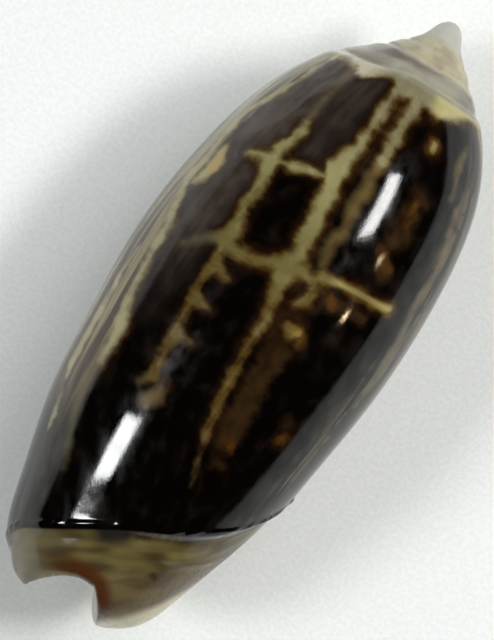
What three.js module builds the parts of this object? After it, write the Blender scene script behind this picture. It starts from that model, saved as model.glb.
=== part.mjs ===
// Olive shell, grown as one piece: a glazed spiral sheet wound about a straight coil axis.
// The spire points along +Y, the rounded back faces +Z and the long mouth opens downwards on the left.
// Millimetres and degrees. Angles turn about the coil axis: 0 at +X, 90 on the back, 180 at -X.
import * as THREE from "three";

const LENGTH = 38;          // tip of the spire to the front corner of the lip
const MOUTH_START = 4.7;      // rear end of the mouth, measured from the tip of the spire
const LIP_ANGLE = 231;      // edge of the outer lip in the middle of the shell
const LIP_FRONT = 208;      // edge of the outer lip at the front end
const MOUTH_DEPTH = 70;     // angle at which the hollow behind the mouth closes
const LIP_THICK = 0.95;     // wall of the outer lip
const LIP_FLARE = 0.7;      // the lip stands out beyond the round of the body
const BELLY = 1.4;          // the belly is this much flatter than the back
const SHOULDER_TIP = 0.25;  // the shoulder sits higher on the right than on the left
const SPIRE_LEAN = 0.16;    // the rear half stands a little to the right of the front half
const SUTURE = 3.85;        // seam between spire and body at the middle of the back
const SUTURE_RISE = 0.00094; // how fast the seam climbs to the tip, per degree
const BAND_STEP = 0.22;     // the band at the front end lies this much lower than the body
const NOTCH = 35.83;        // deepest point of the notch in the front end
const PILLAR_END = 37.8;    // front end of the pillar beside the notch
const FLAT = 6.3;           // depth of the resting flat below the coil axis
const SIDEWAYS = 0.0445;    // brings the middle of the shell's width onto X zero

const RAD = Math.PI / 180;
const clamp = (t) => Math.min(Math.max(t, 0), 1);
const ease = (t) => clamp(t) ** 2 * (3 - 2 * clamp(t));
const mix = (p, q, t) => p + (q - p) * t;

// Smooth curve with continuous bending through a few points
function curve(points) {
  const last = points.length - 1;
  const bend = points.map(() => 0);
  const c = points.map(() => 0);
  const d = points.map(() => 0);
  for (let i = 1; i < last; i += 1) {
    const h0 = points[i][0] - points[i - 1][0];
    const h1 = points[i + 1][0] - points[i][0];
    const turn = (points[i + 1][1] - points[i][1]) / h1 - (points[i][1] - points[i - 1][1]) / h0;
    const w = 2 * (h0 + h1) - h0 * c[i - 1];
    c[i] = h1 / w;
    d[i] = (6 * turn - h0 * d[i - 1]) / w;
  }
  for (let i = last - 1; i > 0; i -= 1) bend[i] = d[i] - c[i] * bend[i + 1];
  return (t) => {
    let i = 0;
    while (i < last - 1 && t > points[i + 1][0]) i += 1;
    const h = points[i + 1][0] - points[i][0];
    const q = (t - points[i][0]) / h;
    const p = 1 - q;
    const sag = ((p ** 3 - p) * bend[i] + (q ** 3 - q) * bend[i + 1]) * h * h / 6;
    return p * points[i][1] + q * points[i + 1][1] + sag;
  };
}

// Half width of the shell: the square root of distance from the tip times this fullness,
// which makes a round nipple, a hollow cone, a shoulder, a long barrel and a blunt front end
const fullness = curve([
  [0, 1.25], [0.6, 1.05], [1.1, 0.95], [1.8, 1.5], [3, 2.8], [4.3, 4.42], [5.5, 5.13], [7.3, 5.4], [10, 5.05],
  [14, 4.25], [18, 3.48], [24, 2.325], [28, 1.74], [32, 1.106], [34, 0.851], [36, 0.603], [37, 0.432], [38, 0.256],
]);
const halfWidth = (a) => Math.sqrt(Math.max(a * fullness(a), 0));

// Share of the room inside the wall that the core fills, full at the rear and thin at the front
const coreShare = curve([[5, 0.88], [9, 0.8], [18, 0.72], [26, 0.6], [31, 0.42], [34, 0.25], [37, 0.09], [38, 0.06]]);

// Line where the glaze of the body ends and the front band begins, by angle
const bandLine = curve([
  [-100, 20.5], [0, 26.6], [17, 27.9], [49, 30.1], [96, 32.4], [137, 34.9], [164, 36.1], [200, 37.2], [231, 37.6],
]);

// The centre that angles are counted from moves over into the pillar towards the front
const centreX = (a) => 2.2 * ease((a - 24) / 14);
const centreZ = (a) => -0.5 * ease((a - 24) / 14);
const lipAngle = (a) => mix(LIP_ANGLE, LIP_FRONT, ease((a - 24) / 13));
const opened = (a) => clamp((a - MOUTH_START) / 4.5) ** 0.6;
const wall = (a) => (LIP_THICK - 0.35 * ease((12 - a) / 6) - 0.25 * ease((a - 28) / 8)) * ease(opened(a) * 1.6);

// Angles beyond 150 are stretched or squeezed so that the last one is always the edge of the lip
const turned = (angle, a) => (angle > 150 ? mix(150, lipAngle(a), (angle - 150) / (LIP_ANGLE - 150)) : angle);

// Grooved seam that climbs the spire in a spiral and fades towards the tip
function seam(angle, a) {
  let depth = 0;
  for (let turn = 0; turn < 4; turn += 1) {
    const wound = angle - 360 * turn;
    const line = SUTURE * Math.exp(SUTURE_RISE * (wound - 90));
    const groove = 0.17 * Math.exp(-(((a - line) / 0.2) ** 2));
    const rim = 0.07 * Math.exp(-(((a - line - 0.42) / 0.26) ** 2));
    const ends = (1 - ease((wound - 205) / 26)) * ease((wound + 1000) / 300);
    depth += (groove - rim) * 0.5 ** ((LIP_ANGLE - wound) / 360) * ends;
  }
  return depth * ease((a - 1.2) / 1.2);
}

// Distance from the centre out to the skin of the body
function skin(angle, a) {
  const theta = turned(angle, a);
  const c = Math.cos(theta * RAD);
  const s = Math.sin(theta * RAD);
  const tip = SHOULDER_TIP * c * ease(a / 2.5) * (1 - ease((a - 6) / 10));
  const r = halfWidth(Math.min(a + tip, LENGTH));
  const px = centreX(a);
  const pz = centreZ(a);
  const along = px * c + pz * s;
  const round = Math.sqrt(Math.max(r * r - px * px - pz * pz + along * along, 0)) - along;
  const grown = ease((a - MOUTH_START) / 7) * r / 7.9;
  const belly = BELLY * Math.cos(clamp(Math.abs(angle + 100) / 85) * 90 * RAD) ** 2;
  const flare = LIP_FLARE * ease((angle - 165) / 66);
  const step = BAND_STEP * ease((a - bandLine(Math.max(angle, -100)) + 0.15) / 0.3);
  return round + grown * (flare - belly) - step - seam(angle, a);
}

// Front margin by angle: pillar, steep side of the notch, long slope to the lip, round corner of the lip
function frontEnd(angle) {
  if (angle < 110) return mix(PILLAR_END, NOTCH, ease((angle - 90) / 14));
  if (angle < 164) return mix(NOTCH, LENGTH, ease(((angle - 110) / 54) ** 0.87));
  return LENGTH - 1.4 * ((angle - 164) / 67) ** 2;
}

// The wall ends in a rounded rim and the pillar in a rounded nose
const rimShare = (angle) => ease((angle - 88) / 13);
const rimLength = (angle) => mix(1.3, 0.36, rimShare(angle));

// A column of the surface runs from the tip of the spire to the front end at one angle.
// Its face is core, belly, body, lip or lining.
function reach(column, a) {
  const t = wall(a);
  const open = opened(a);
  const share = 1 - (1 - coreShare(Math.max(a, MOUTH_START))) * open;
  const inside = LIP_ANGLE - column.g * (LIP_ANGLE - MOUTH_DEPTH) * open;
  if (column.face === "core") {
    const closing = 1 - Math.sqrt(1 - clamp((column.g - 0.75) / 0.25) ** 2);
    return [inside, (skin(inside, a) - t) * mix(share, 1, closing)];
  }
  if (column.face === "belly") {
    const start = lipAngle(a) - 360;
    const angle = mix(start, -60, column.g);
    const skirt = (1 - column.g) ** 1.7 * open;
    const core = (skin(LIP_ANGLE, a) - t) * share;
    return [angle, mix(skin(mix(LIP_ANGLE - 360, -60, column.g), a), core, skirt)];
  }
  if (column.face === "body") return [column.angle, skin(column.angle, a)];
  const middle = skin(LIP_ANGLE, a) - t / 2;
  if (column.face === "lip") {
    const back = (1 - Math.cos(column.g * RAD)) * t / 2 / Math.max(middle, 1) / RAD;
    return [LIP_ANGLE - back, middle - Math.sin(column.g * RAD) * t / 2];
  }
  return [inside, skin(inside, a) - t];
}

// Columns in order round the shell
const columns = [];
for (let i = 0; i < 9; i += 1) columns.push({ face: "core", g: 1 - i / 9 });
for (let i = 0; i < 8; i += 1) columns.push({ face: "belly", g: i / 8 });
const notchAngles = [80, 88, 92.5, 96, 99, 103, 110, 120, 130, 140, 150, 160, 170, 180, 190, 200, 210, 220];
for (let angle = -60; angle < 80; angle += 10) columns.push({ face: "body", angle });
for (const angle of notchAngles) columns.push({ face: "body", angle });
for (const g of [-90, -50, 0, 50, 90]) columns.push({ face: "lip", g });
for (const angle of notchAngles.reverse()) {
  columns.push({ face: "lining", g: (LIP_ANGLE - angle) / (LIP_ANGLE - MOUTH_DEPTH), angle });
}

// Rows from the tip of the spire to the front end: spire and shoulder, barrel, front band, rounded rim
const rows = [
  0, 0.06, 0.22, 0.45, 0.75, 1.1, 1.45, 1.8, 2.15, 2.5, 2.8, 3.1, 3.35, 3.6, 3.85, 4.1, 4.35, 4.7, 5.1, 5.6, 6.2,
  7.1, 8.2, 9.6, 11.2, 13,
].map((a) => ({ a }));
for (let i = 1; i < 11; i += 1) rows.push({ barrel: i / 10 });
for (let i = 0; i < 9; i += 1) rows.push({ band: i / 9 });
for (const rim of [0, 35, 65, 90]) rows.push({ rim });

function point(column, row) {
  const wallSide = column.face === "body" || column.face === "lip" || column.face === "lining";
  const angle = wallSide ? (column.angle ?? LIP_ANGLE) : 0;
  const end = frontEnd(angle);
  const round = rimLength(angle);
  const share = rimShare(angle);
  const heading = column.face === "belly" ? mix(-100, -60, column.g) : angle;
  const deep = column.face === "core" ? mix(-100, MOUTH_DEPTH, column.g) : heading;
  const line = Math.min(bandLine(deep), end - round - 0.6);
  let a = row.a;
  let shrink = 1;
  if (row.barrel !== undefined) a = mix(13, line - 0.15, row.barrel);
  if (row.band !== undefined) a = mix(line + 0.15, end - round, row.band);
  if (row.rim !== undefined) {
    a = end - round * (1 - Math.sin(row.rim * RAD));
    shrink = Math.cos(row.rim * RAD);
  }
  const [at, full] = reach(column, a);
  const rim = share * (skin(angle, a) - wall(a) / 2);
  const r = mix(rim, full, shrink);
  const theta = (column.face === "belly" ? at : turned(at, a)) * RAD;
  const z = centreZ(a) + r * Math.sin(theta);
  const lean = SPIRE_LEAN * (1 - ease((a - 9) / 10));
  return [SIDEWAYS + lean + centreX(a) + r * Math.cos(theta), LENGTH / 2 - a, Math.max(z, -FLAT) + FLAT];
}

// Weld the grid into one closed skin; rows that have drawn together to a point or a line vanish
const spots = new Map();
const positions = [];
function place(p) {
  const key = p.map((q) => Math.round(q * 2000)).join(" ");
  if (!spots.has(key)) {
    spots.set(key, positions.length / 3);
    positions.push(...p);
  }
  return spots.get(key);
}
const grid = rows.map((row) => columns.map((column) => place(point(column, row))));
const faces = [];
function face(p, q, r) {
  if (p !== q && q !== r && r !== p) faces.push(p, q, r);
}
for (let j = 0; j + 1 < rows.length; j += 1) {
  for (let i = 0; i < columns.length; i += 1) {
    const k = (i + 1) % columns.length;
    face(grid[j][i], grid[j][k], grid[j + 1][k]);
    face(grid[j][i], grid[j + 1][k], grid[j + 1][i]);
  }
}

const geometry = new THREE.BufferGeometry();
geometry.setAttribute("position", new THREE.Float32BufferAttribute(positions, 3));
geometry.setIndex(faces);
geometry.computeVertexNormals();

const glaze = new THREE.MeshStandardMaterial({ color: 0x2b1f16, roughness: 0.15, metalness: 0 });
const shell = new THREE.Mesh(geometry, glaze);
shell.name = "shell";

const part = new THREE.Group();
part.name = "olive_shell";
part.add(shell);

export default part;
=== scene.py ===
import bpy
import numpy as np
from mathutils import Matrix


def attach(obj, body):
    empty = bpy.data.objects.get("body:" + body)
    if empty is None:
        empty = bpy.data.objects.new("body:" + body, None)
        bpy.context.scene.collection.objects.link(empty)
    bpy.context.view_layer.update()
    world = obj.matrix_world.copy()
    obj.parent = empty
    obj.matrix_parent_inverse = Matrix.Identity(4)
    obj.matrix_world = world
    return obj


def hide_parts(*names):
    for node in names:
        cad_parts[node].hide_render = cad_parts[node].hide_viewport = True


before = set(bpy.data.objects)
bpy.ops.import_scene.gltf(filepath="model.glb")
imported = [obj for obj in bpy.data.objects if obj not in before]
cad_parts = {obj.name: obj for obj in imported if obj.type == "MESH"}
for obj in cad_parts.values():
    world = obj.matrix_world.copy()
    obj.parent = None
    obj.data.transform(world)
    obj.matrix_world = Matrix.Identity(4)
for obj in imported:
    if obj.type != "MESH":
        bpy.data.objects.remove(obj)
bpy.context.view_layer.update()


# Shell: one coiled sheet of lime that the animal laid down at the lip and glazed with its mantle.
# It winds about a straight axis from the pointed spire to the notched front end, and the last turn
# wraps all earlier ones, so the outside is a smooth barrel with a long narrow mouth underneath.

# Lengths are millimetres from the tip of the spire; angles turn from the right over the back to the lip
LENGTH = 38.0
FLAT = 6.3
SIDEWAYS = 0.0445
MOUTH_START = 4.7
LIP_EDGE = 231.0
HOLLOW_END = 70.0
BELLY_MIDDLE, BELLY_END = -100, -60
PILLAR_START, PILLAR_LENGTH = 24, 14
UNROLLED_RADIUS = 7


def clamp(t):
    """The value held between nought and one."""
    return np.clip(t, 0.0, 1.0)


def ease(t):
    """A soft step: three squares less two cubes of the clamped value."""
    return clamp(t) ** 2 * (3 - 2 * clamp(t))


def mix(p, q, t):
    """The point that lies the share t of the way from p to q."""
    return p + (q - p) * t


def curve(points, at):
    """A bent lath through the points: cubic pieces whose bending is continuous and nought at both ends."""
    x, y = np.array(points, float).T
    gap = np.diff(x)
    inner = np.arange(1, len(x) - 1)
    system = np.eye(len(x))
    system[inner, inner - 1] = gap[:-1]
    system[inner, inner] = 2 * (gap[:-1] + gap[1:])
    system[inner, inner + 1] = gap[1:]
    turn = np.zeros(len(x))
    turn[1:-1] = 6 * np.diff(np.diff(y) / gap)
    bend = np.linalg.solve(system, turn)
    i = np.clip(np.searchsorted(x, at) - 1, 0, len(x) - 2)
    q = (at - x[i]) / gap[i]
    p = 1 - q
    sag = ((p**3 - p) * bend[i] + (q**3 - q) * bend[i + 1]) * gap[i] ** 2 / 6
    return p * y[i] + q * y[i + 1] + sag


def half_width(a):
    """Square root of the distance from the tip times a fullness: bead, hollow cone, shoulder, barrel."""
    fullness = curve(
        [(0, 1.25), (0.6, 1.05), (1.1, 0.95), (1.8, 1.5), (3, 2.8), (4.3, 4.42), (5.5, 5.13), (7.3, 5.4),
         (10, 5.05), (14, 4.25), (18, 3.48), (24, 2.325), (28, 1.74), (32, 1.106), (34, 0.851), (36, 0.603),
         (37, 0.432), (38, 0.256)], a)
    return np.sqrt(np.maximum(a * fullness, 0))


def core_share(a):
    """Share of the room inside the wall that the core fills, full at the rear and thin at the front."""
    points = [(5, 0.88), (9, 0.8), (18, 0.72), (26, 0.6), (31, 0.42), (34, 0.25), (37, 0.09), (38, 0.06)]
    return curve(points, np.maximum(a, MOUTH_START))


def band_line(angle):
    """Where the body's glaze ends and the dull front band begins: it slants forward round the back."""
    points = [(-100, 20.5), (0, 26.6), (17, 27.9), (49, 30.1), (96, 32.4), (137, 34.9), (164, 36.1),
              (200, 37.2), (231, 37.6)]
    return curve(points, np.maximum(angle, BELLY_MIDDLE))


def pillar_x(a):
    """Sideways shift of the centre that angles are counted from: it eases into the pillar at the front."""
    return 2.2 * ease((a - PILLAR_START) / PILLAR_LENGTH)


def pillar_z(a):
    """Downward shift of the same centre."""
    return -0.5 * ease((a - PILLAR_START) / PILLAR_LENGTH)


def lip_angle(a):
    """Angle of the lip's edge, which draws back a little towards the front."""
    front_angle = 208
    return mix(LIP_EDGE, front_angle, ease((a - PILLAR_START) / 13))


def opened(a):
    """How far the mouth has opened: nought at its rear end, one within a few millimetres."""
    opening = 4.5
    return clamp((a - MOUTH_START) / opening) ** 0.6


def wall(a):
    """Thickness of the outer lip's wall, thinner at both ends."""
    full, less_at_rear, less_at_front = 0.95, 0.35, 0.25
    rear, front = ease((12 - a) / 6), ease((a - 28) / 8)
    return (full - less_at_rear * rear - less_at_front * front) * ease(opened(a) * 1.6)


def turned(angle, a):
    """Angles past a limit are squeezed so that the last one always lies on the lip's edge."""
    limit = 150
    squeezed = mix(limit, lip_angle(a), (angle - limit) / (LIP_EDGE - limit))
    return np.where(angle > limit, squeezed, angle)


def suture(wound):
    """The seam between turns: its distance from the tip grows by the same share each degree, then bends."""
    at_back, rise, bend = 3.85, 0.00094, 0.55
    return at_back * np.exp(rise * (wound - 90)) + bend * ease((wound - 90) / 45)


def seam(angle, a):
    """Depth of the grooved seam: a narrow valley beside a low ridge, both smaller on each earlier turn."""
    turns = 4
    depth, width = 0.17, 0.2
    ridge_height, ridge_off, ridge_width = 0.07, 0.42, 0.26
    wound = angle - 360 * np.arange(turns).reshape(turns, 1, 1)
    narrowing = np.minimum(1, 0.75 ** ((LIP_EDGE - 110 - wound) / 360))
    off = (a - suture(wound)) / narrowing
    ridge = ridge_height * np.exp(-(((off - ridge_off) / ridge_width) ** 2))
    valley = depth * np.exp(-((off / width) ** 2)) - ridge
    fading = 0.66 ** ((LIP_EDGE - wound) / 360)
    ends = (1 - ease((wound - 205) / 26)) * ease((wound + 1000) / 300)
    return (valley * fading * ends).sum(axis=0) * ease((a - 0.6) / 0.8)


def band_step(angle, a):
    """Drop from the glaze to the band, less a lumpy bead along the edge and a low ridge on the band."""
    depth, width = 0.22, 0.5
    bead_height, bead_off, bead_width = 0.08, 0.42, 0.16
    ridge_height, ridge_off, ridge_width, ridge_slant = 0.08, 0.6, 0.2, 0.028
    past = a - band_line(angle)
    drop = depth * ease((past + width / 2) / width)
    lumps = 0.7 + 0.6 * np.sin(angle * 0.45 + 2 * np.sin(angle * 0.19))
    bead = bead_height * lumps * np.exp(-(((past + bead_off) / bead_width) ** 2)) * ease((angle + 30) / 30)
    ridge = ridge_height * np.exp(-(((past - ridge_off - (95 - angle) * ridge_slant) / ridge_width) ** 2))
    ridge = ridge * ease((angle - 10) / 30) * (1 - ease((angle - 96) / 14))
    return drop - bead - ridge


def skin(angle, a):
    """Centre to outside: the round barrel plus the lip's flare, less the flat belly, band step and seam."""
    fullest, belly_depth, lip_flare, shoulder_tilt = 7.9, 1.4, 0.7, 0.25
    c, s = np.cos(np.radians(turned(angle, a))), np.sin(np.radians(turned(angle, a)))
    tilt = shoulder_tilt * c * ease(a / 2.5) * (1 - ease((a - 6) / 10))
    r = half_width(np.minimum(a + tilt, LENGTH))
    along = pillar_x(a) * c + pillar_z(a) * s
    barrel = np.sqrt(np.maximum(r**2 - pillar_x(a) ** 2 - pillar_z(a) ** 2 + along**2, 0)) - along
    grown = ease((a - MOUTH_START) / 7) * r / fullest
    belly = belly_depth * np.cos(clamp(np.abs(angle - BELLY_MIDDLE) / 85) * np.pi / 2) ** 2
    flare = lip_flare * ease((angle - 165) / 66)
    return barrel + grown * (flare - belly) - band_step(angle, a) - seam(angle, a)


def front_end(angle):
    """Front margin by angle: pillar, steep side of the notch, long slope to the lip, round corner."""
    nose, notch_floor, slope_start, corner_start = 37.8, 35.83, 110, 164
    steep = mix(nose, notch_floor, ease((angle - 90) / 14))
    slope_share = clamp((angle - slope_start) / (corner_start - slope_start)) ** 0.87
    slope = mix(notch_floor, LENGTH, ease(slope_share))
    corner = LENGTH - 1.4 * ((angle - corner_start) / (LIP_EDGE - corner_start)) ** 2
    return np.where(angle < slope_start, steep, np.where(angle < corner_start, slope, corner))


def rim_share(angle):
    """Nought where the pillar ends in a nose, one where the wall ends in a rim."""
    return ease((angle - 88) / 13)


# Lines round the shell in order: core in the hollow, belly from the inner lip, body over the back,
# the lip's rounded edge, and the lining back into the hollow.
core_g = 1 - np.arange(24) / 24
belly_g = np.arange(36) / 36
wall_angle = np.concatenate([np.arange(80, 88, 2), np.arange(88, 112, 1.2), np.arange(112, LIP_EDGE, 2)])
body_angle = np.concatenate([np.arange(BELLY_END, 80, 2), wall_angle])
lip_g = np.radians(np.linspace(-90, 90, 9))
lining_angle = wall_angle[::-1]
lining_g = (LIP_EDGE - lining_angle) / (LIP_EDGE - HOLLOW_END)
lip_column = np.full(lip_g.shape, LIP_EDGE)
margin = np.concatenate([0 * core_g, 0 * belly_g, body_angle, lip_column, lining_angle])
heading = np.concatenate([
    mix(BELLY_MIDDLE, HOLLOW_END, core_g), mix(BELLY_MIDDLE, BELLY_END, belly_g), body_angle, lip_column,
    lining_angle])

# Rows from the tip to the front: spire and shoulder, barrel, step down to the band, band, rounded rim
BEAD_END, SPIRE_END, SHOULDER_END = 0.9, 5.2, 13
NOSE_ROUND, RIM_ROUND, LEAST_BAND = 1.3, 0.36, 0.7
end = front_end(margin)
rounding = mix(NOSE_ROUND, RIM_ROUND, rim_share(margin))
line = np.minimum(band_line(heading), end - rounding - LEAST_BAND)
spire_rows = np.concatenate([
    BEAD_END * (np.arange(12) / 12) ** 2,
    np.arange(BEAD_END, SPIRE_END, 0.08),
    np.arange(SPIRE_END, SHOULDER_END, 0.16),
])
quarter = np.radians(np.linspace(0, 90, 9))[:, None]
a = np.concatenate([
    np.repeat(spire_rows[:, None], len(margin), axis=1),
    mix(SHOULDER_END, line - 0.8, np.linspace(0, 1, 92)[:, None]),
    line + np.linspace(-0.72, 0.24, 13)[:, None],
    mix(line + 0.32, end - rounding, np.linspace(0, 1, 40, endpoint=False)[:, None]),
    end - rounding * (1 - np.sin(quarter)),
])
shrink = np.ones(a.shape)
shrink[-len(quarter):] = np.cos(quarter)
core, belly, body, lip, lining = np.split(
    np.arange(len(margin)), np.cumsum([len(core_g), len(belly_g), len(body_angle), len(lip_g)]))

# Angle and reach of every point, one kind of surface after the other
angle = np.empty(a.shape)
reach = np.empty(a.shape)
share = 1 - (1 - core_share(a)) * opened(a)

depth = LIP_EDGE - core_g * (LIP_EDGE - HOLLOW_END) * opened(a[:, core])
closing = 1 - np.sqrt(1 - clamp((core_g - 0.75) / 0.25) ** 2)
angle[:, core] = depth
reach[:, core] = (skin(depth, a[:, core]) - wall(a[:, core])) * mix(share[:, core], 1, closing)

at = a[:, belly]
skirt = (1 - belly_g) ** 1.7 * opened(at)
inner_edge = (skin(LIP_EDGE + 0 * at, at) - wall(at)) * share[:, belly]
angle[:, belly] = mix(LIP_EDGE - 360, BELLY_END, belly_g) + 0 * at
outer_round = skin(angle[:, belly], at)
FOLD_HEIGHT, FOLD_PITCH, FOLD_SLANT = 0.26, 3.2, 6
folds = np.cos((at - FOLD_SLANT * belly_g) / FOLD_PITCH * np.pi) ** 4
folds = folds * ease((at - 12) / 12) * ease((37 - at) / 3)
folds = FOLD_HEIGHT * folds * (1 - ease((belly_g - 0.08) / 0.4)) * ease(belly_g / 0.03 + 0.3)
reach[:, belly] = mix(outer_round, inner_edge, skirt) + folds

angle[:, body] = body_angle + 0 * a[:, body]
reach[:, body] = skin(angle[:, body], a[:, body])

at = a[:, lip]
middle = skin(LIP_EDGE + 0 * at, at) - wall(at) / 2
angle[:, lip] = LIP_EDGE - np.degrees((1 - np.cos(lip_g)) * wall(at) / 2 / np.maximum(middle, 1))
reach[:, lip] = middle - np.sin(lip_g) * wall(at) / 2

depth = LIP_EDGE - lining_g * (LIP_EDGE - HOLLOW_END) * opened(a[:, lining])
angle[:, lining] = depth
reach[:, lining] = skin(depth, a[:, lining]) - wall(a[:, lining])

rim = rim_share(margin) * (skin(margin + 0 * a, a) - wall(a) / 2)
reach = mix(rim, reach, shrink)
bearing = turned(angle, a)
bearing[:, belly] = mix(lip_angle(a[:, belly]) - 360, BELLY_END, belly_g)
bearing = np.radians(bearing)
SPIRE_LEAN = 0.16
lean = SPIRE_LEAN * (1 - ease((a - 9) / 10))
surface = np.stack([
    SIDEWAYS + lean + pillar_x(a) + reach * np.cos(bearing),
    LENGTH / 2 - a,
    np.maximum(pillar_z(a) + reach * np.sin(bearing), -FLAT) + FLAT,
], axis=-1)

# The shell's markings, each a chain of (distance from the tip, angle, width) that runs over the surface.
# Cream streaks run from shoulder to front and are tied by cross lines, with teeth along their edges;
# faint streaks are browner, and a width below nought leaves only the worn edge of a streak.
CREAM = [
    [(5.1, 97, .5), (6, 96.5, .36), (7, 96, .32), (7.9, 95.5, .36), (8.8, 95, .48), (9.6, 96.5, .84),
     (10.5, 97, 1), (11.3, 95.5, .92), (12, 93.5, .76), (12.8, 92.5, .68), (13.5, 92, .92), (14.3, 91, .66),
     (14.9, 90, .52), (15.4, 89.5, .8), (16.1, 90.5, 1), (16.6, 89.5, .8), (17.2, 88.5, .6), (18, 87.5, .4),
     (18.8, 86.5, .14), (19.5, 86, .22), (20.6, 85.5, .14), (21.9, 84.5, .18), (23.4, 83, .06),
     (24.3, 82, 0), (25.5, 80, -.16), (26.4, 79, -.3)],
    [(9.3, 121, .3), (9.6, 121, .45), (10.2, 121.5, .56), (11, 123, .64), (11.8, 121.5, .81),
     (12.4, 121.5, .6), (13.1, 120.5, .54), (13.9, 119.5, .44), (14.7, 119, .3), (15.4, 117, .42),
     (16, 116, .86), (16.6, 116.5, 1.1), (17.2, 116, .6), (17.9, 115, .3), (18.6, 115, .2), (19.1, 115, .16),
     (20.1, 114.5, .18), (20.9, 114, .16), (21.7, 113.5, .16), (22.4, 113, .18), (23.2, 112.5, .22),
     (24, 112, .24), (24.7, 112, .2)],
    [(17.9, 115, .4), (18.15, 111.5, .26), (18.3, 108, -.05)],
    [(19.9, 114.5, .36), (20.15, 110.5, .2), (20.25, 106, -.05)],
    [(21.9, 113.5, .32), (22.1, 110, .1), (22.2, 106, -.2)],
    [(4.8, 150, .6), (5.7, 149, .45), (6.6, 148, .4), (7.5, 147, .4), (8.5, 149, .42), (9.2, 153, .5),
     (10.1, 157, .5), (10.9, 158, .65), (11.9, 157, .8), (12.9, 156, .9), (13.9, 155, .9), (14.7, 156, .8),
     (15.4, 154, .7), (16.2, 151, .7), (16.9, 148.5, .7), (17.8, 145.5, .7), (18.6, 145, .8),
     (19.2, 145, .6), (20.3, 144, .6), (21.5, 143, .65), (22.5, 142, .75), (23.6, 139, .9), (24.6, 138, .85),
     (25.5, 139, .6)],
    [(19.4, 156, .4), (21.4, 158, .5), (22.7, 157, .6), (23.6, 158, .7), (24.8, 159, .8), (25.8, 159, .85),
     (26.8, 160, .8), (27.4, 158, .4)],
    [(28.1, 157, .16), (28.7, 156, .4), (29.5, 155, .45), (30.1, 156, .2)],
    [(4.6, 84, .5), (5.4, 83, .5), (6.2, 83, .56), (7.2, 83, .54), (8.1, 83, .46), (8.7, 83, .3),
     (9.3, 83, .1)],
    [(12.1, 134, .2), (11.9, 129, .38), (11.8, 124, .49), (11.7, 118, .32), (11.5, 112, .3),
     (11.3, 108, .32), (11.1, 100, .43)],
    [(16.85, 114, .7), (16.85, 109, .5), (16.8, 104, .5), (16.6, 100, .42), (16.35, 96, .46),
     (16.1, 91, .6), (15.85, 86, .65), (15.95, 82, .45), (15.9, 79.5, .4), (15.5, 76.5, .4),
     (15.35, 72, .34), (15.2, 65, .28), (15.1, 57, .26), (15.05, 51, .36), (15, 47, .5), (14.9, 44, .5)],
    [(16.05, 80, .4), (16.5, 77, .4), (17, 77.5, .42), (17.4, 80, .3)],
    [(18.7, 76.5, .2), (18.9, 74.5, .4), (18.6, 72.5, .3), (19, 70.5, .05)],
    [(6.4, 63, .36), (6.7, 63, .3)],
    [(12.6, 149, .5), (13.3, 146.5, .85), (14, 145.5, 1), (14.5, 147, .8), (15, 149.5, .5)],
    [(3.7, 33, .43), (4, 22, .32), (4.6, 18, .27), (5.1, 16, .16)],
]
FAINT = [
    [(5.3, 128, .3), (6.2, 125, .2), (7.1, 124, .2), (8.1, 123, .22), (8.9, 122, .3), (9.6, 121, .4)],
    [(8.9, 82.5, .45), (9.7, 83, .56), (10.5, 82, .56), (11.3, 82.5, .56), (12.1, 82, .42), (12.9, 80, .4),
     (13.7, 82, .5), (14.4, 80.5, .3), (15, 79.5, .1)],
    [(18, 132, .16), (17.5, 127, .3), (17.1, 123, .4), (16.8, 118, .6)],
    [(25.3, 139, .5), (26.5, 140, .45), (27.4, 140, .4), (28.4, 140, .4), (29.3, 139, .34),
     (29.9, 137, .25), (31.5, 136, .15)],
    [(25.9, 109, .65), (25.5, 106, .7)],
    [(24.7, 112, .4), (25.3, 115, .3)],
    [(5.6, 40, .16), (6.2, 42, .24), (6.9, 43, .27), (7.5, 42, .22), (8.1, 41, .16)],
    [(8.6, 34, .3), (9.9, 32, .45), (11.2, 28, .5), (12.4, 29, .55), (13.9, 30, .6), (14.9, 28, .6),
     (16, 26, .7), (16.8, 25, .9), (17.4, 25, .9), (18.2, 24, .6), (19, 24, .45), (20, 25, .3)],
    [(24.6, 82, -.1), (26.4, 79, -.1), (28.4, 76, -.3)],
    [(7.4, 22, .2), (9, 19, .35), (11, 16, .45), (13, 17, .3), (14.8, 15, .5), (16.6, 13, .4),
     (18.4, 14, .5), (20.4, 12, .3), (22, 13, .2)],
]
AMBER = [
    [(12.8, 147, .6), (13.5, 145.5, .8), (14.1, 145, .6)],
    [(9.7, 60, .5), (10.7, 59, .4)],
    [(12.6, 63, .4), (13.1, 56, .5)],
    [(18.7, 73, .7), (18.8, 69, .5)],
    [(16, 71, .3), (16.5, 67, .2)],
    [(23.8, 51, .6), (23.5, 48, .7)],
    [(25.6, 69, .7), (25.7, 68, .5)],
    [(6.6, 63, .8)],
]
BROWN = [
    [(16.8, 80, .9), (18.9, 78, 1.3), (20.3, 76, 1.6), (22, 75, 1.5), (23.5, 73, 1.5), (25.2, 72, 1.3),
     (26.6, 71, .8)],
    [(16.2, 84, .6), (17.6, 83, .7), (19, 82, .5)],
    [(9.2, 60, 1.2), (10.8, 59, 1.4), (12.4, 60, 1.2), (13.6, 57, 1)],
    [(16.3, 72, .9), (16.2, 66, 1), (16.1, 52, .6)],
    [(22.9, 52, .7), (23.8, 49, 1)],
    [(25.2, 113, .8), (25, 106, .9)],
    [(5.5, 90, .3), (8, 89, .3), (11, 90, .3), (13.5, 87, .4), (15, 86, .3)],
    [(33.6, 72, .3), (33.65, 69, .25)],
]

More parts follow.
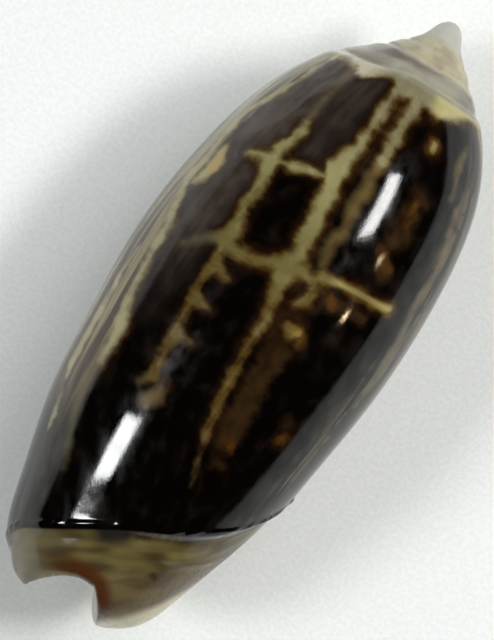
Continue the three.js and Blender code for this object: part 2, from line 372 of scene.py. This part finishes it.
# Out of sight of the back the same streaks go on: wavering chains with pointed teeth to either side
season = np.random.default_rng(11)
BENDS = 15
for start in [0, -17, -35, -52, -70, 184, 201, 217]:
    bends = 4.6 + season.uniform(0.8, 2.0, BENDS).cumsum()
    swing = start + season.normal(0, 1.5, BENDS).cumsum() * 0.6 + season.normal(0, 1.0, BENDS)
    breadth = season.uniform(0.15, 0.8, BENDS) * clamp((28 - bends) / 6)
    chain = list(zip(bends, swing, breadth))
    (CREAM if season.random() < 0.65 else FAINT).append(chain)
    for p, q, w in chain[1:-1]:
        reach_out = season.choice([0, 3, -3, -5, 10], p=[0.6, 0.14, 0.14, 0.08, 0.04])
        tip = (p + season.uniform(-0.2, 0.5), q + reach_out * season.uniform(0.8, 1.3), 0.1)
        CREAM.extend([[(p, q, w), tip]] if reach_out else [])


def marking(chains, angle, a):
    """Gap to the nearest link of all chains less half the width there, so it is below nought inside."""
    far = 9.0
    r = np.maximum(half_width(a), 0.5) * np.pi / 180
    near = np.full(a.shape, far)
    for chain in chains:
        links = list(zip(chain, chain[1:])) or [(chain[0], chain[0])]
        for (a0, t0, w0), (a1, t1, w1) in links:
            du, dv = (t1 - t0) * r, a1 - a0
            u, v = (angle - t0) * r, a - a0
            share = clamp((u * du + v * dv) / np.maximum(du**2 + dv**2, 1e-9))
            near = np.minimum(near, np.hypot(u - share * du, v - share * dv) - mix(w0, w1, share) / 2)
    return near


# The cream rim behind the shoulder, from the seam to the ragged upper ends of the dark fields
rim_front = curve(
    [(-130, 4.9), (-60, 4.5), (10, 4.3), (29, 4.1), (51, 4.5), (57, 4.75), (65, 5.05), (78, 4.9), (87, 5.0),
     (92, 5.25), (98, 5.0), (105, 4.65), (110, 4.8), (116, 5.2), (124, 5.4), (134, 5.1), (143, 5.1),
     (160, 5.3), (231, 5.4)], angle)
# The pale flank beside the lip: everything past a wavering line down the left side
flank_line = curve(
    [(4.5, 146), (7.5, 144), (9, 148), (11, 152), (14, 151), (16, 150), (17, 147), (18.6, 143), (20.3, 141),
     (22.5, 139), (24.6, 135.5), (26.5, 137), (28.5, 138), (30.5, 138.5), (33, 141), (38, 144)], a)
inside = np.zeros(a.shape)
inside[:, core] = 1
inside[:, belly] = ease((0.46 - belly_g) / 0.34) * opened(a[:, belly])
inside[:, lip] = ease((np.degrees(lip_g) + 70) / 90)
inside[:, lining] = 1
notch_edge = [(front_end(turn), turn, 0.0) for turn in np.linspace(82, 150, 60)]
traits = {
    "notch": marking([notch_edge], angle, a),
    "cream": np.minimum(marking(CREAM, angle, a), a - rim_front),
    "faint": marking(FAINT, angle, a),
    "amber": marking(AMBER, angle, a),
    "brown": marking(BROWN, angle, a),
    "flank": (angle - flank_line) * np.radians(np.maximum(half_width(a), 0.5)),
    "band": a - band_line(angle),
    "spire": a - suture(angle),
    "margin": end - a,
    "inside": inside,
}
# Places on the unrolled shell for the noise; the inside is lifted off so that its pattern differs
INSIDE_LIFT = 3
wind = np.stack([np.radians(angle) * UNROLLED_RADIUS, a, inside * INSIDE_LIFT], axis=-1)

# The grid closes on itself; points that meet at the tip, the mouth's ends and the rim become one
WELD_STEPS = 2000
welded = np.round(surface.reshape(-1, 3) * WELD_STEPS).astype(int)
_, first, joined = np.unique(welded, axis=0, return_index=True, return_inverse=True)
joined = joined.reshape(a.shape)
here, ahead = joined, np.roll(joined, -1, axis=1)
corners = np.concatenate([
    np.stack([here[:-1], ahead[:-1], ahead[1:]], axis=-1).reshape(-1, 3),
    np.stack([here[:-1], ahead[1:], here[1:]], axis=-1).reshape(-1, 3),
])
p, q, r = corners.T
corners = corners[(p != q) & (q != r) & (r != p)]

shell_mesh = bpy.data.meshes.new("shell")
shell_mesh.vertices.add(len(first))
shell_mesh.vertices.foreach_set("co", (surface.reshape(-1, 3)[first] / 1000).ravel())
shell_mesh.loops.add(corners.size)
shell_mesh.loops.foreach_set("vertex_index", corners.ravel())
shell_mesh.polygons.add(len(corners))
shell_mesh.polygons.foreach_set("loop_start", np.arange(0, corners.size, 3))
shell_mesh.polygons.foreach_set("use_smooth", np.ones(len(corners), bool))
for name, values in traits.items():
    shell_mesh.attributes.new(name, "FLOAT", "POINT").data.foreach_set("value", values.ravel()[first])
shell_mesh.attributes.new("wind", "FLOAT_VECTOR", "POINT").data.foreach_set(
    "vector", wind.reshape(-1, 3)[first].ravel())
shell_mesh.update()
shell_mesh.validate()
shell = bpy.data.objects.new("shell_glazed", shell_mesh)
bpy.context.collection.objects.link(shell)


class Shade:
    """A shader socket that takes part in sums and products as a number would."""

    def __init__(self, tree, socket=None):
        self.tree = tree
        self.socket = socket

    def node(self, kind, settings=None, sockets=None, output=0):
        """Adds a node, applies its settings, then sets or links its sockets, and gives back one output."""
        made = self.tree.nodes.new(kind)
        for key, value in (settings or {}).items():
            setattr(made, key, value)
        named = {socket.identifier: socket for socket in made.inputs}
        for key, value in (sockets or {}).items():
            socket = made.inputs[key] if isinstance(key, int) else named.get(key) or made.inputs[key]
            if isinstance(value, Shade):
                self.tree.links.new(value.socket, socket)
            else:
                socket.default_value = value
        return Shade(self.tree, made.outputs[output] if made.outputs else None)

    def math(self, operation, left, right):
        """One sum, difference or product of two values."""
        return self.node("ShaderNodeMath", {"operation": operation}, {0: left, 1: right})

    def __add__(self, other): return self.math("ADD", self, other)
    def __radd__(self, other): return self.math("ADD", other, self)
    def __sub__(self, other): return self.math("SUBTRACT", self, other)
    def __rsub__(self, other): return self.math("SUBTRACT", other, self)
    def __mul__(self, other): return self.math("MULTIPLY", self, other)
    def __rmul__(self, other): return self.math("MULTIPLY", other, self)

    def between(self, low, high):
        """A soft step from nought at the first value to one at the second."""
        return self.node("ShaderNodeMapRange", {"interpolation_type": "SMOOTHSTEP"},
                         {"Value": self, "From Min": low, "From Max": high})

    def over(self, base, colour):
        """This mask's colour laid over a base colour."""
        colour_out = 2
        sockets = {"Factor_Float": self, "A_Color": base, "B_Color": colour}
        return self.node("ShaderNodeMix", {"data_type": "RGBA"}, sockets, colour_out)


def colour(red, green, blue):
    """A colour given as it looks on a screen, nought to 255, turned into light amounts."""
    screen = np.array([red, green, blue]) / 255
    light = np.where(screen < 0.04045, screen / 12.92, ((screen + 0.055) / 1.055) ** 2.4)
    return (*light, 1.0)


glaze = bpy.data.materials.new("shell_glaze")
glaze.use_nodes = True
glaze.node_tree.nodes.clear()
paint = Shade(glaze.node_tree)
VECTOR_OUT, VALUE_OUT, OBJECT_OUT = 1, 2, 3
trait = {
    name: paint.node("ShaderNodeAttribute", {"attribute_name": name}, output=VALUE_OUT) for name in traits}
winding = paint.node("ShaderNodeAttribute", {"attribute_name": "wind"}, output=VECTOR_OUT)


def mottle(across, along, detail=2.0):
    """Soft noise on the unrolled shell, with so many patches per millimetre across and along the axis."""
    scale = (across, along, 1.0)
    sized = paint.node("ShaderNodeVectorMath", {"operation": "MULTIPLY"}, {0: winding, 1: scale})
    return paint.node("ShaderNodeTexNoise", {}, {"Vector": sized, "Scale": 1.0, "Detail": detail})


# Millimetres round the unrolled shell, nought on the right, 11 on top, 22 on the left, and from the tip
around = paint.node("ShaderNodeSeparateXYZ", {}, {"Vector": winding}, 0)
along = paint.node("ShaderNodeSeparateXYZ", {}, {"Vector": winding}, 1)
ragged = (mottle(0.75, 1.0, 3.0) - 0.5) * 1.05
lines = mottle(2.6, 0.16, 3.0)
cloud = mottle(0.45, 0.3, 2.0)
smudge = mottle(1.1, 0.7, 4.0)

# Dark ground: almost black brown with brown patches, and a painted sheen that greys the upper left in place
# of reflected light
BLACK_BROWN, WARM_BLACK = colour(4, 2, 1), colour(22, 13, 7)
SHEEN_GREY, PATCH_BROWN = colour(72, 62, 55), colour(50, 33, 15)
ground = (smudge.between(0.5, 0.75) * 0.8).over(BLACK_BROWN, WARM_BLACK)
# Painted sheen: grey laid over the upper left, standing in for the glaze's reflection of light from that
# side
painted_sheen = around.between(14.2, 15.8) * along.between(24, 15) * (0.45 + 0.55 * along.between(8, 10.5))
painted_sheen = painted_sheen + 0.6 * around.between(11.4, 13.6) * along.between(12, 9.5)
painted_sheen = painted_sheen * (0.6 + 0.4 * smudge.between(0.35, 0.65)) * (0.75 + 0.25 * lines.between(0.4, 0.6))
ground = painted_sheen.over(ground, SHEEN_GREY)
brown = (trait["brown"] + ragged * 1.6).between(0.35, -0.5)
ground = (brown * (0.45 + 0.55 * smudge.between(0.3, 0.68))).over(ground, PATCH_BROWN)

# Flanks: the left one tan, lined along the axis with purple brown, dark again towards the front;
# the right one dark with fine tan threads
PURPLE_BROWN, LINED_TAN = colour(84, 68, 58), colour(154, 143, 108)
DEEP_SHADE, SOFT_SHADE = colour(28, 23, 20), colour(52, 46, 40)
THREAD_TAN = colour(92, 82, 62)
strands = mottle(1.2, 0.12, 2.0)
flank_tone = strands.between(0.43, 0.6).over(PURPLE_BROWN, LINED_TAN)
shade_tone = strands.between(0.35, 0.65).over(DEEP_SHADE, SOFT_SHADE)
flank_tone = (along + (strands - 0.5) * 9).between(25, 31).over(flank_tone, shade_tone)
flank = (trait["flank"] + ragged * 0.6).between(-0.15, 0.4)
threads = around.between(4.9, 3.4) * lines.between(0.46, 0.62) * smudge.between(0.3, 0.55)
ground = (threads * 0.8).over(ground, THREAD_TAN)
ground = (flank * 0.92).over(ground, flank_tone)

# Streaks: dark red brown, then tan, then cream, paler towards the shoulder and the flank and browner to
# the front; the faint ones stay brown, and a few amber spots lie over both
RED_BROWN, EDGE_TAN = colour(34, 17, 6), colour(80, 60, 24)
FAINT_OLIVE, FAINT_LEFT, FAINT_RIGHT = colour(100, 82, 46), colour(96, 86, 64), colour(100, 89, 68)
SHOULDER_CREAM, UPPER_CREAM = colour(122, 115, 88), colour(138, 132, 90)
MIDDLE_CREAM, FRONT_CREAM = colour(102, 94, 54), colour(82, 68, 30)
RIGHT_CREAM, LEFT_CREAM = colour(104, 84, 38), colour(166, 157, 118)
RIM_CREAM, PATCH_CREAM = colour(184, 178, 152), colour(166, 158, 112)
DARK_AMBER, CREAM_AMBER, LEFT_AMBER = colour(112, 72, 20), colour(124, 98, 40), colour(186, 148, 84)
blur = 1 - 0.35 * around.between(15, 16.6) - 0.55 * around.between(4.8, 3.4)
edge = (trait["cream"] + ragged - 0.05) * blur
burnt = 1 - 0.85 * flank
halo = edge.between(0.7, 0.12) * (0.4 + 0.6 * cloud.between(0.4, 0.6)) * burnt
body_coat = halo.over(ground, RED_BROWN)
body_coat = (edge.between(0.32, -0.1) * burnt).over(body_coat, EDGE_TAN)
faint = (trait["faint"] + ragged * 0.7).between(0.4, -0.34)
faint_tone = around.between(13.2, 15.2).over(FAINT_OLIVE, FAINT_LEFT)
faint_tone = around.between(6, 4).over(faint_tone, FAINT_RIGHT)
body_coat = (faint * 0.88).over(body_coat, faint_tone)
cream_tone = along.between(6, 11).over(SHOULDER_CREAM, UPPER_CREAM)
cream_tone = along.between(11, 16).over(cream_tone, MIDDLE_CREAM)
cream_tone = along.between(15.5, 23.5).over(cream_tone, FRONT_CREAM)
cream_tone = (around.between(9.6, 8.0) * along.between(12.5, 14.5)).over(cream_tone, RIGHT_CREAM)
cream_tone = around.between(14.8, 17).over(cream_tone, LEFT_CREAM)
cream_tone = (around.between(13, 15) * along.between(6.4, 5.2)).over(cream_tone, RIM_CREAM)
cream_tone = (smudge.between(0.45, 0.75) * 0.3).over(cream_tone, PATCH_CREAM)
cream = edge.between(0.12, -0.3)
body_coat = cream.over(body_coat, cream_tone)
amber = (trait["amber"] + ragged * 0.7).between(0.28, -0.3)
amber_tone = cream.over(DARK_AMBER, CREAM_AMBER)
amber_tone = around.between(15.2, 16.8).over(amber_tone, LEFT_AMBER)
body_coat = (amber * (0.1 + 0.38 * smudge.between(0.4, 0.6) + 0.35 * cream)).over(body_coat, amber_tone)

# Front band: olive tan in faint layers along the step, a painted shadow in black just below it, red brown
# round the notch, cream along the pillar's edge
DARK_LAYER, LIGHT_LAYER = colour(66, 55, 31), colour(106, 95, 56)
FRONT_TAN, LEFT_GREY = colour(92, 76, 56), colour(126, 119, 102)
BAND_BROWN, STEP_SHADOW, NOTCH_RUST = colour(56, 40, 18), colour(22, 23, 26), colour(70, 34, 11)
NOSE_CREAM, FRINGE_CREAM = colour(186, 178, 148), colour(202, 194, 162)
layers = paint.node("ShaderNodeCombineXYZ", {}, {"X": 0.3 * around, "Y": 1.3 * trait["band"]})
growth = paint.node("ShaderNodeTexNoise", {}, {"Vector": layers, "Scale": 1.0, "Detail": 1.0})
band_coat = growth.between(0.3, 0.7).over(DARK_LAYER, LIGHT_LAYER)
band_coat = (trait["band"].between(1.4, 4.0) * 0.6).over(band_coat, FRONT_TAN)
band_coat = (around.between(14.6, 18.4) * 0.4).over(band_coat, LEFT_GREY)
band_coat = ((trait["brown"] + ragged * 0.4).between(0.15, -0.1)).over(band_coat, BAND_BROWN)
on_top = around.between(14.2, 12.8)
# Painted shadow: black on the band just below the glaze's step, wide on the top and thin and patchy
# elsewhere
step_shadow = trait["band"].between(1.0, 0.2) * on_top * around.between(10.6, 11.8)
step_shadow = step_shadow + (1 - step_shadow) * trait["band"].between(0.5, 0.1) * on_top * smudge.between(0.35, 0.6)
band_coat = (step_shadow * 0.9).over(band_coat, STEP_SHADOW)
rust = trait["notch"].between(1.3, 0.5) * trait["notch"].between(0.05, 0.22) * around.between(17.5, 13.5)
band_coat = (rust * 0.92).over(band_coat, NOTCH_RUST)
nose = trait["margin"].between(1.4, 0.3) * around.between(10.8, 9.4)
band_coat = (nose * 0.9).over(band_coat, NOSE_CREAM)
fringe = (around - 1.85 * along + 59.5).between(1.9, -0.2) * along.between(31.5, 34.5)
band_coat = (fringe * 0.92).over(band_coat, FRINGE_CREAM)
body_coat = trait["band"].between(-0.2, -0.05).over(body_coat, band_coat)

# Spire: grey next to the seam, dusky clouds along the turn before, olive cream above, freckled, with a
# pale bead at the tip and a golden edge on the right
SEAM_GREY, OLIVE_CREAM = colour(156, 154, 137), colour(176, 169, 141)
CLOUD_BROWN, FRECKLE_BROWN = colour(100, 89, 82), colour(128, 116, 102)
BEAD_GREY, EDGE_GOLD = colour(182, 181, 173), colour(192, 184, 124)
place = paint.node("ShaderNodeTexCoord", {}, {}, OBJECT_OUT)
sway = paint.node("ShaderNodeTexNoise", {}, {"Vector": place, "Scale": 330.0, "Detail": 2.0})
height = along + (sway - 0.5) * 1.5
spire_coat = height.between(3.25, 2.55).over(SEAM_GREY, OLIVE_CREAM)
dusky = height.between(2.6, 3.1) * height.between(3.9, 3.3) * (0.3 + 0.7 * sway.between(0.6, 0.42))
dusky = dusky + around.between(13.6, 15.4) * around.between(19, 16) * along.between(2.9, 3.6) * 0.6
spire_coat = (dusky * 0.92).over(spire_coat, CLOUD_BROWN)
freckle = paint.node("ShaderNodeTexNoise", {}, {"Vector": place, "Scale": 800.0, "Detail": 3.0})
spire_coat = (freckle.between(0.46, 0.66) * 0.45).over(spire_coat, FRECKLE_BROWN)
spire_coat = along.between(1.6, 1.0).over(spire_coat, BEAD_GREY)
body_coat = trait["spire"].between(0.2, -0.02).over(body_coat, spire_coat)
gold = trait["spire"].between(0.1, 0.35) * trait["cream"].between(0.1, -0.3) * around.between(9.4, 8.2)
body_coat = (gold * 0.65).over(body_coat, EDGE_GOLD)

# Inside: pale lining and inner lip, a little warmer in patches
LINING_WHITE, LINING_WARM = colour(196, 194, 190), colour(214, 206, 188)
lining_coat = cloud.between(0.3, 0.7).over(LINING_WHITE, LINING_WARM)
coat = trait["inside"].over(body_coat, lining_coat)

# Glaze: a mirror finish that is hazy in patches on the back and worn dull on the front band
scratches = mottle(16, 4, 4.0)
dull = trait["band"].between(-0.05, 0.1)
worn = 0.03 * dull + 0.2 * trait["band"].between(1.0, 2.6)
roughness = 0.03 + 0.10 * smudge.between(0.5, 0.8) + 0.03 * scratches + worn + 0.12 * trait["inside"]
relief = paint.node("ShaderNodeBump", {}, {
    "Strength": 0.22, "Distance": 0.00003, "Height": 0.35 * lines + 0.3 * scratches + 0.5 * growth * dull})
haze = 0.6 * smudge.between(0.38, 0.66) * around.between(2.8, 5.2) * around.between(19.5, 17)
skin_shader = paint.node("ShaderNodeBsdfPrincipled", {}, {
    "Base Color": coat, "Roughness": roughness, "Normal": relief, "IOR": 1.33,
    "Coat Weight": haze, "Coat Roughness": 0.22, "Coat IOR": 1.25})
paint.node("ShaderNodeOutputMaterial", {}, {"Surface": skin_shader})
shell_mesh.materials.append(glaze)
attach(shell, "root")
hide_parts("shell")


# Paper: a wide sheet of matt white paper on a table, with the shell lying on it mouth down.
# It throws light back up and shows as a pale reflection low on the shell's flanks.
SHEET, CELLS, DROP = 1.5, 8, 0.00002
FIBRE_GREY, FIBRE_WHITE = colour(234, 237, 236), colour(240, 243, 242)
POINTS = CELLS + 1
span = np.linspace(-SHEET, SHEET, POINTS)
sheet_x, sheet_y = np.meshgrid(span, span)
grid_points = np.stack([sheet_x, sheet_y, 0 * sheet_x - DROP], axis=-1).reshape(-1, 3)
cell = (np.arange(CELLS)[:, None] * POINTS + np.arange(CELLS)).ravel()
squares = np.stack([cell, cell + 1, cell + POINTS + 1, cell + POINTS], axis=-1)
paper_mesh = bpy.data.meshes.new("paper")
paper_mesh.from_pydata(grid_points.tolist(), [], squares.tolist())
paper = bpy.data.objects.new("paper", paper_mesh)
bpy.context.collection.objects.link(paper)
white = bpy.data.materials.new("white_paper")
white.use_nodes = True
white.node_tree.nodes.clear()
pulp = Shade(white.node_tree)
place = pulp.node("ShaderNodeTexCoord", {}, {}, OBJECT_OUT)
fibre = pulp.node("ShaderNodeTexNoise", {}, {"Vector": place, "Scale": 4200.0, "Detail": 3.0})
tone = fibre.between(0.35, 0.65).over(FIBRE_GREY, FIBRE_WHITE)
tooth = pulp.node("ShaderNodeBump", {}, {"Strength": 0.2, "Distance": 0.00005, "Height": fibre})
sheet_shader = pulp.node("ShaderNodeBsdfPrincipled", {}, {
    "Base Color": tone, "Roughness": 0.85, "Normal": tooth})
pulp.node("ShaderNodeOutputMaterial", {}, {"Surface": sheet_shader})
paper_mesh.materials.append(white)


# Camera: held straight above the shell and turned so that the spire points to the upper right.
# The picture takes in the whole shell with a narrow margin of paper.
SENSOR = 36
DISTANCE = 0.220
AXIS_HEIGHT = 0.0063
FRAME_HEIGHT = 0.03456
TURN = np.radians(34)
centre = np.array([-0.00018, -0.00056, AXIS_HEIGHT])
image_right = np.array([np.cos(TURN), np.sin(TURN), 0])
image_up = np.array([-np.sin(TURN), np.cos(TURN), 0])
lens = bpy.data.cameras.new("camera")
lens.sensor_width = SENSOR
lens.lens = SENSOR * DISTANCE / FRAME_HEIGHT
lens.clip_start = 0.01
camera = bpy.data.objects.new("camera", lens)
camera.location = centre + np.array([0, 0, DISTANCE])
camera.rotation_euler = (0, 0, TURN)
bpy.context.collection.objects.link(camera)
bpy.context.scene.camera = camera


# Light: a dim room with a bright window on the right and a weaker one on the left, both well above the
# table, two small warm lamps low on the right and soft light from above. The left window is two panes,
# one that lights the scene and a nearer one that only shows as a reflection in the glaze.
def window(name, right, up, out, size, power, tint, roll=0.0, seen=True, lit=True, distance=0.6):
    """A flat lit pane that faces the shell from a direction given as the picture sees it."""
    direction = right * image_right + up * image_up + np.array([0, 0, out])
    direction = direction / np.linalg.norm(direction)
    pane = bpy.data.lights.new(name, "AREA")
    pane.shape = "RECTANGLE"
    pane.size, pane.size_y = size
    pane.energy = power
    pane.color = tint
    stand = bpy.data.objects.new(name, pane)
    level = np.cross([0, 0, 1], direction)
    level = level / np.linalg.norm(level)
    rise = np.cross(direction, level)
    spin = np.radians(roll)
    level, rise = np.cos(spin) * level + np.sin(spin) * rise, np.cos(spin) * rise - np.sin(spin) * level
    turn = np.eye(4)
    turn[:3, 0], turn[:3, 1], turn[:3, 2] = level, rise, direction
    turn[:3, 3] = centre + distance * direction
    stand.matrix_world = Matrix(turn.tolist())
    stand.visible_glossy, stand.visible_diffuse = seen, lit
    bpy.context.collection.objects.link(stand)


window("right_window", 0.66, 0.05, 0.735, (0.18, 0.095), 2.1, (1.0, 1.0, 0.98), roll=-18)
window("left_window", -0.70, -0.04, 0.68, (0.17, 0.15), 1.35, (0.97, 1.0, 1.0), roll=-30, seen=False)
window("left_glare", -0.70, -0.04, 0.68, (0.16, 0.14), 3.2, (0.97, 1.0, 1.0), roll=-30, lit=False,
       distance=0.56)
window("upper_lamp", 0.50, 0.36, 0.76, (0.30, 0.30), 1.1, (1.0, 1.0, 1.0), seen=False)
window("upper_left_lamp", -0.50, 0.50, 0.70, (0.30, 0.30), 0.35, (1.0, 1.0, 1.0), seen=False)
window("ceiling", 0.0, 0.05, 1.0, (1.2, 1.2), 0.7, (1.0, 1.0, 1.0), seen=False)
window("warm_lamp", 0.76, -0.43, 0.50, (0.014, 0.012), 0.09, (1.0, 0.72, 0.45))
window("warm_lamp_2", 0.82, -0.29, 0.49, (0.014, 0.006), 0.05, (1.0, 0.72, 0.45))
room = bpy.data.worlds.new("dim_room")
room.use_nodes = True
room.node_tree.nodes["Background"].inputs["Color"].default_value = (0.02, 0.02, 0.021, 1)
bpy.context.scene.world = room
bpy.context.scene.view_settings.view_transform = "Standard"
